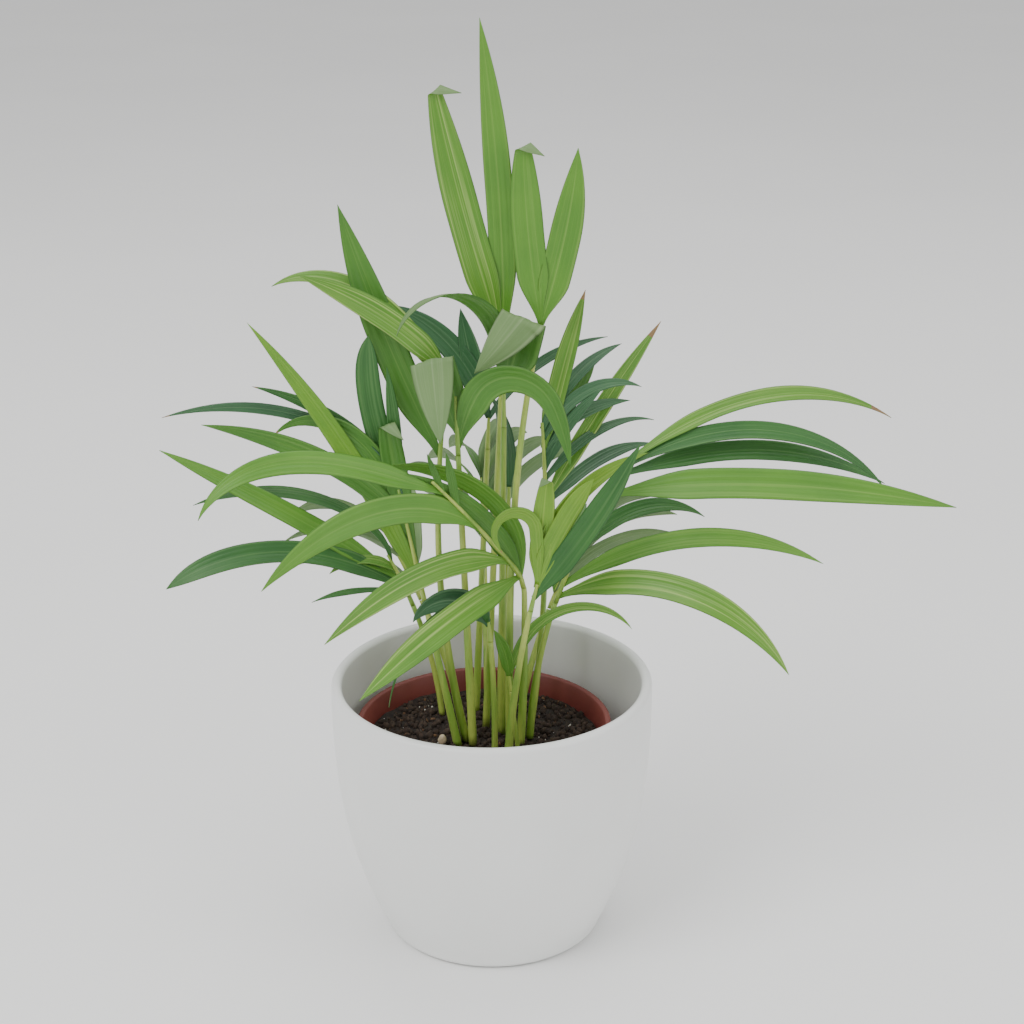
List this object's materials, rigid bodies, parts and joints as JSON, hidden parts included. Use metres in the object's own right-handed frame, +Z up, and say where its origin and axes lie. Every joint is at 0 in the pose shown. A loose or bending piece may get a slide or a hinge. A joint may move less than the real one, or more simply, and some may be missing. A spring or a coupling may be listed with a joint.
{
  "type": "potted areca palm",
  "caption": "Young areca palm with arching feather fronds in a brown growing pot, set in a smooth round white cover pot.",
  "frame": {"origin": "middle of the cover pot's flat underside", "axes": "+Z up along the pot's turning axis, -Y towards the viewer of the picture, +X to the viewer's right"},
  "size_m": [0.3574, 0.2512, 0.4276],
  "materials": {
    "pot_glaze": "satin off-white glaze",
    "brown_plastic": "matt red-brown",
    "soil": "loose dark potting soil",
    "stem_green": "smooth yellow-green stalk",
    "leaf_green": "leaf green with fine lengthwise veins"
  },
  "bodies": {
    "root": {"back_left_frond": "leaf_green", "back_left_stem": "stem_green", "back_middle_frond": "leaf_green", "back_middle_stem": "stem_green", "back_right_frond": "leaf_green", "back_right_stem": "stem_green", "bent_young_frond": "leaf_green", "bent_young_stem": "stem_green", "curl_back_frond": "leaf_green", "curl_back_stem": "stem_green", "curl_front_frond": "leaf_green", "curl_front_stem": "stem_green", "dark_centre_frond": "leaf_green", "dark_centre_stem": "stem_green", "front_left_frond": "leaf_green", "front_left_stem": "stem_green", "grow_pot": "brown_plastic", "left_light_frond": "leaf_green", "left_light_stem": "stem_green", "left_low_frond": "leaf_green", "left_low_stem": "stem_green", "left_tall_frond": "leaf_green", "left_tall_stem": "stem_green", "low_dark_frond": "leaf_green", "low_dark_stem": "stem_green", "pot": "pot_glaze", "right_back_frond": "leaf_green", "right_back_stem": "stem_green", "right_frond": "leaf_green", "right_stem": "stem_green", "seedling_frond": "leaf_green", "seedling_stem": "stem_green", "soil": "soil", "tall_left_frond": "leaf_green", "tall_left_stem": "stem_green", "tall_right_frond": "leaf_green", "tall_right_stem": "stem_green", "young_centre_frond": "leaf_green", "young_centre_stem": "stem_green"}
  },
  "joints": []
}
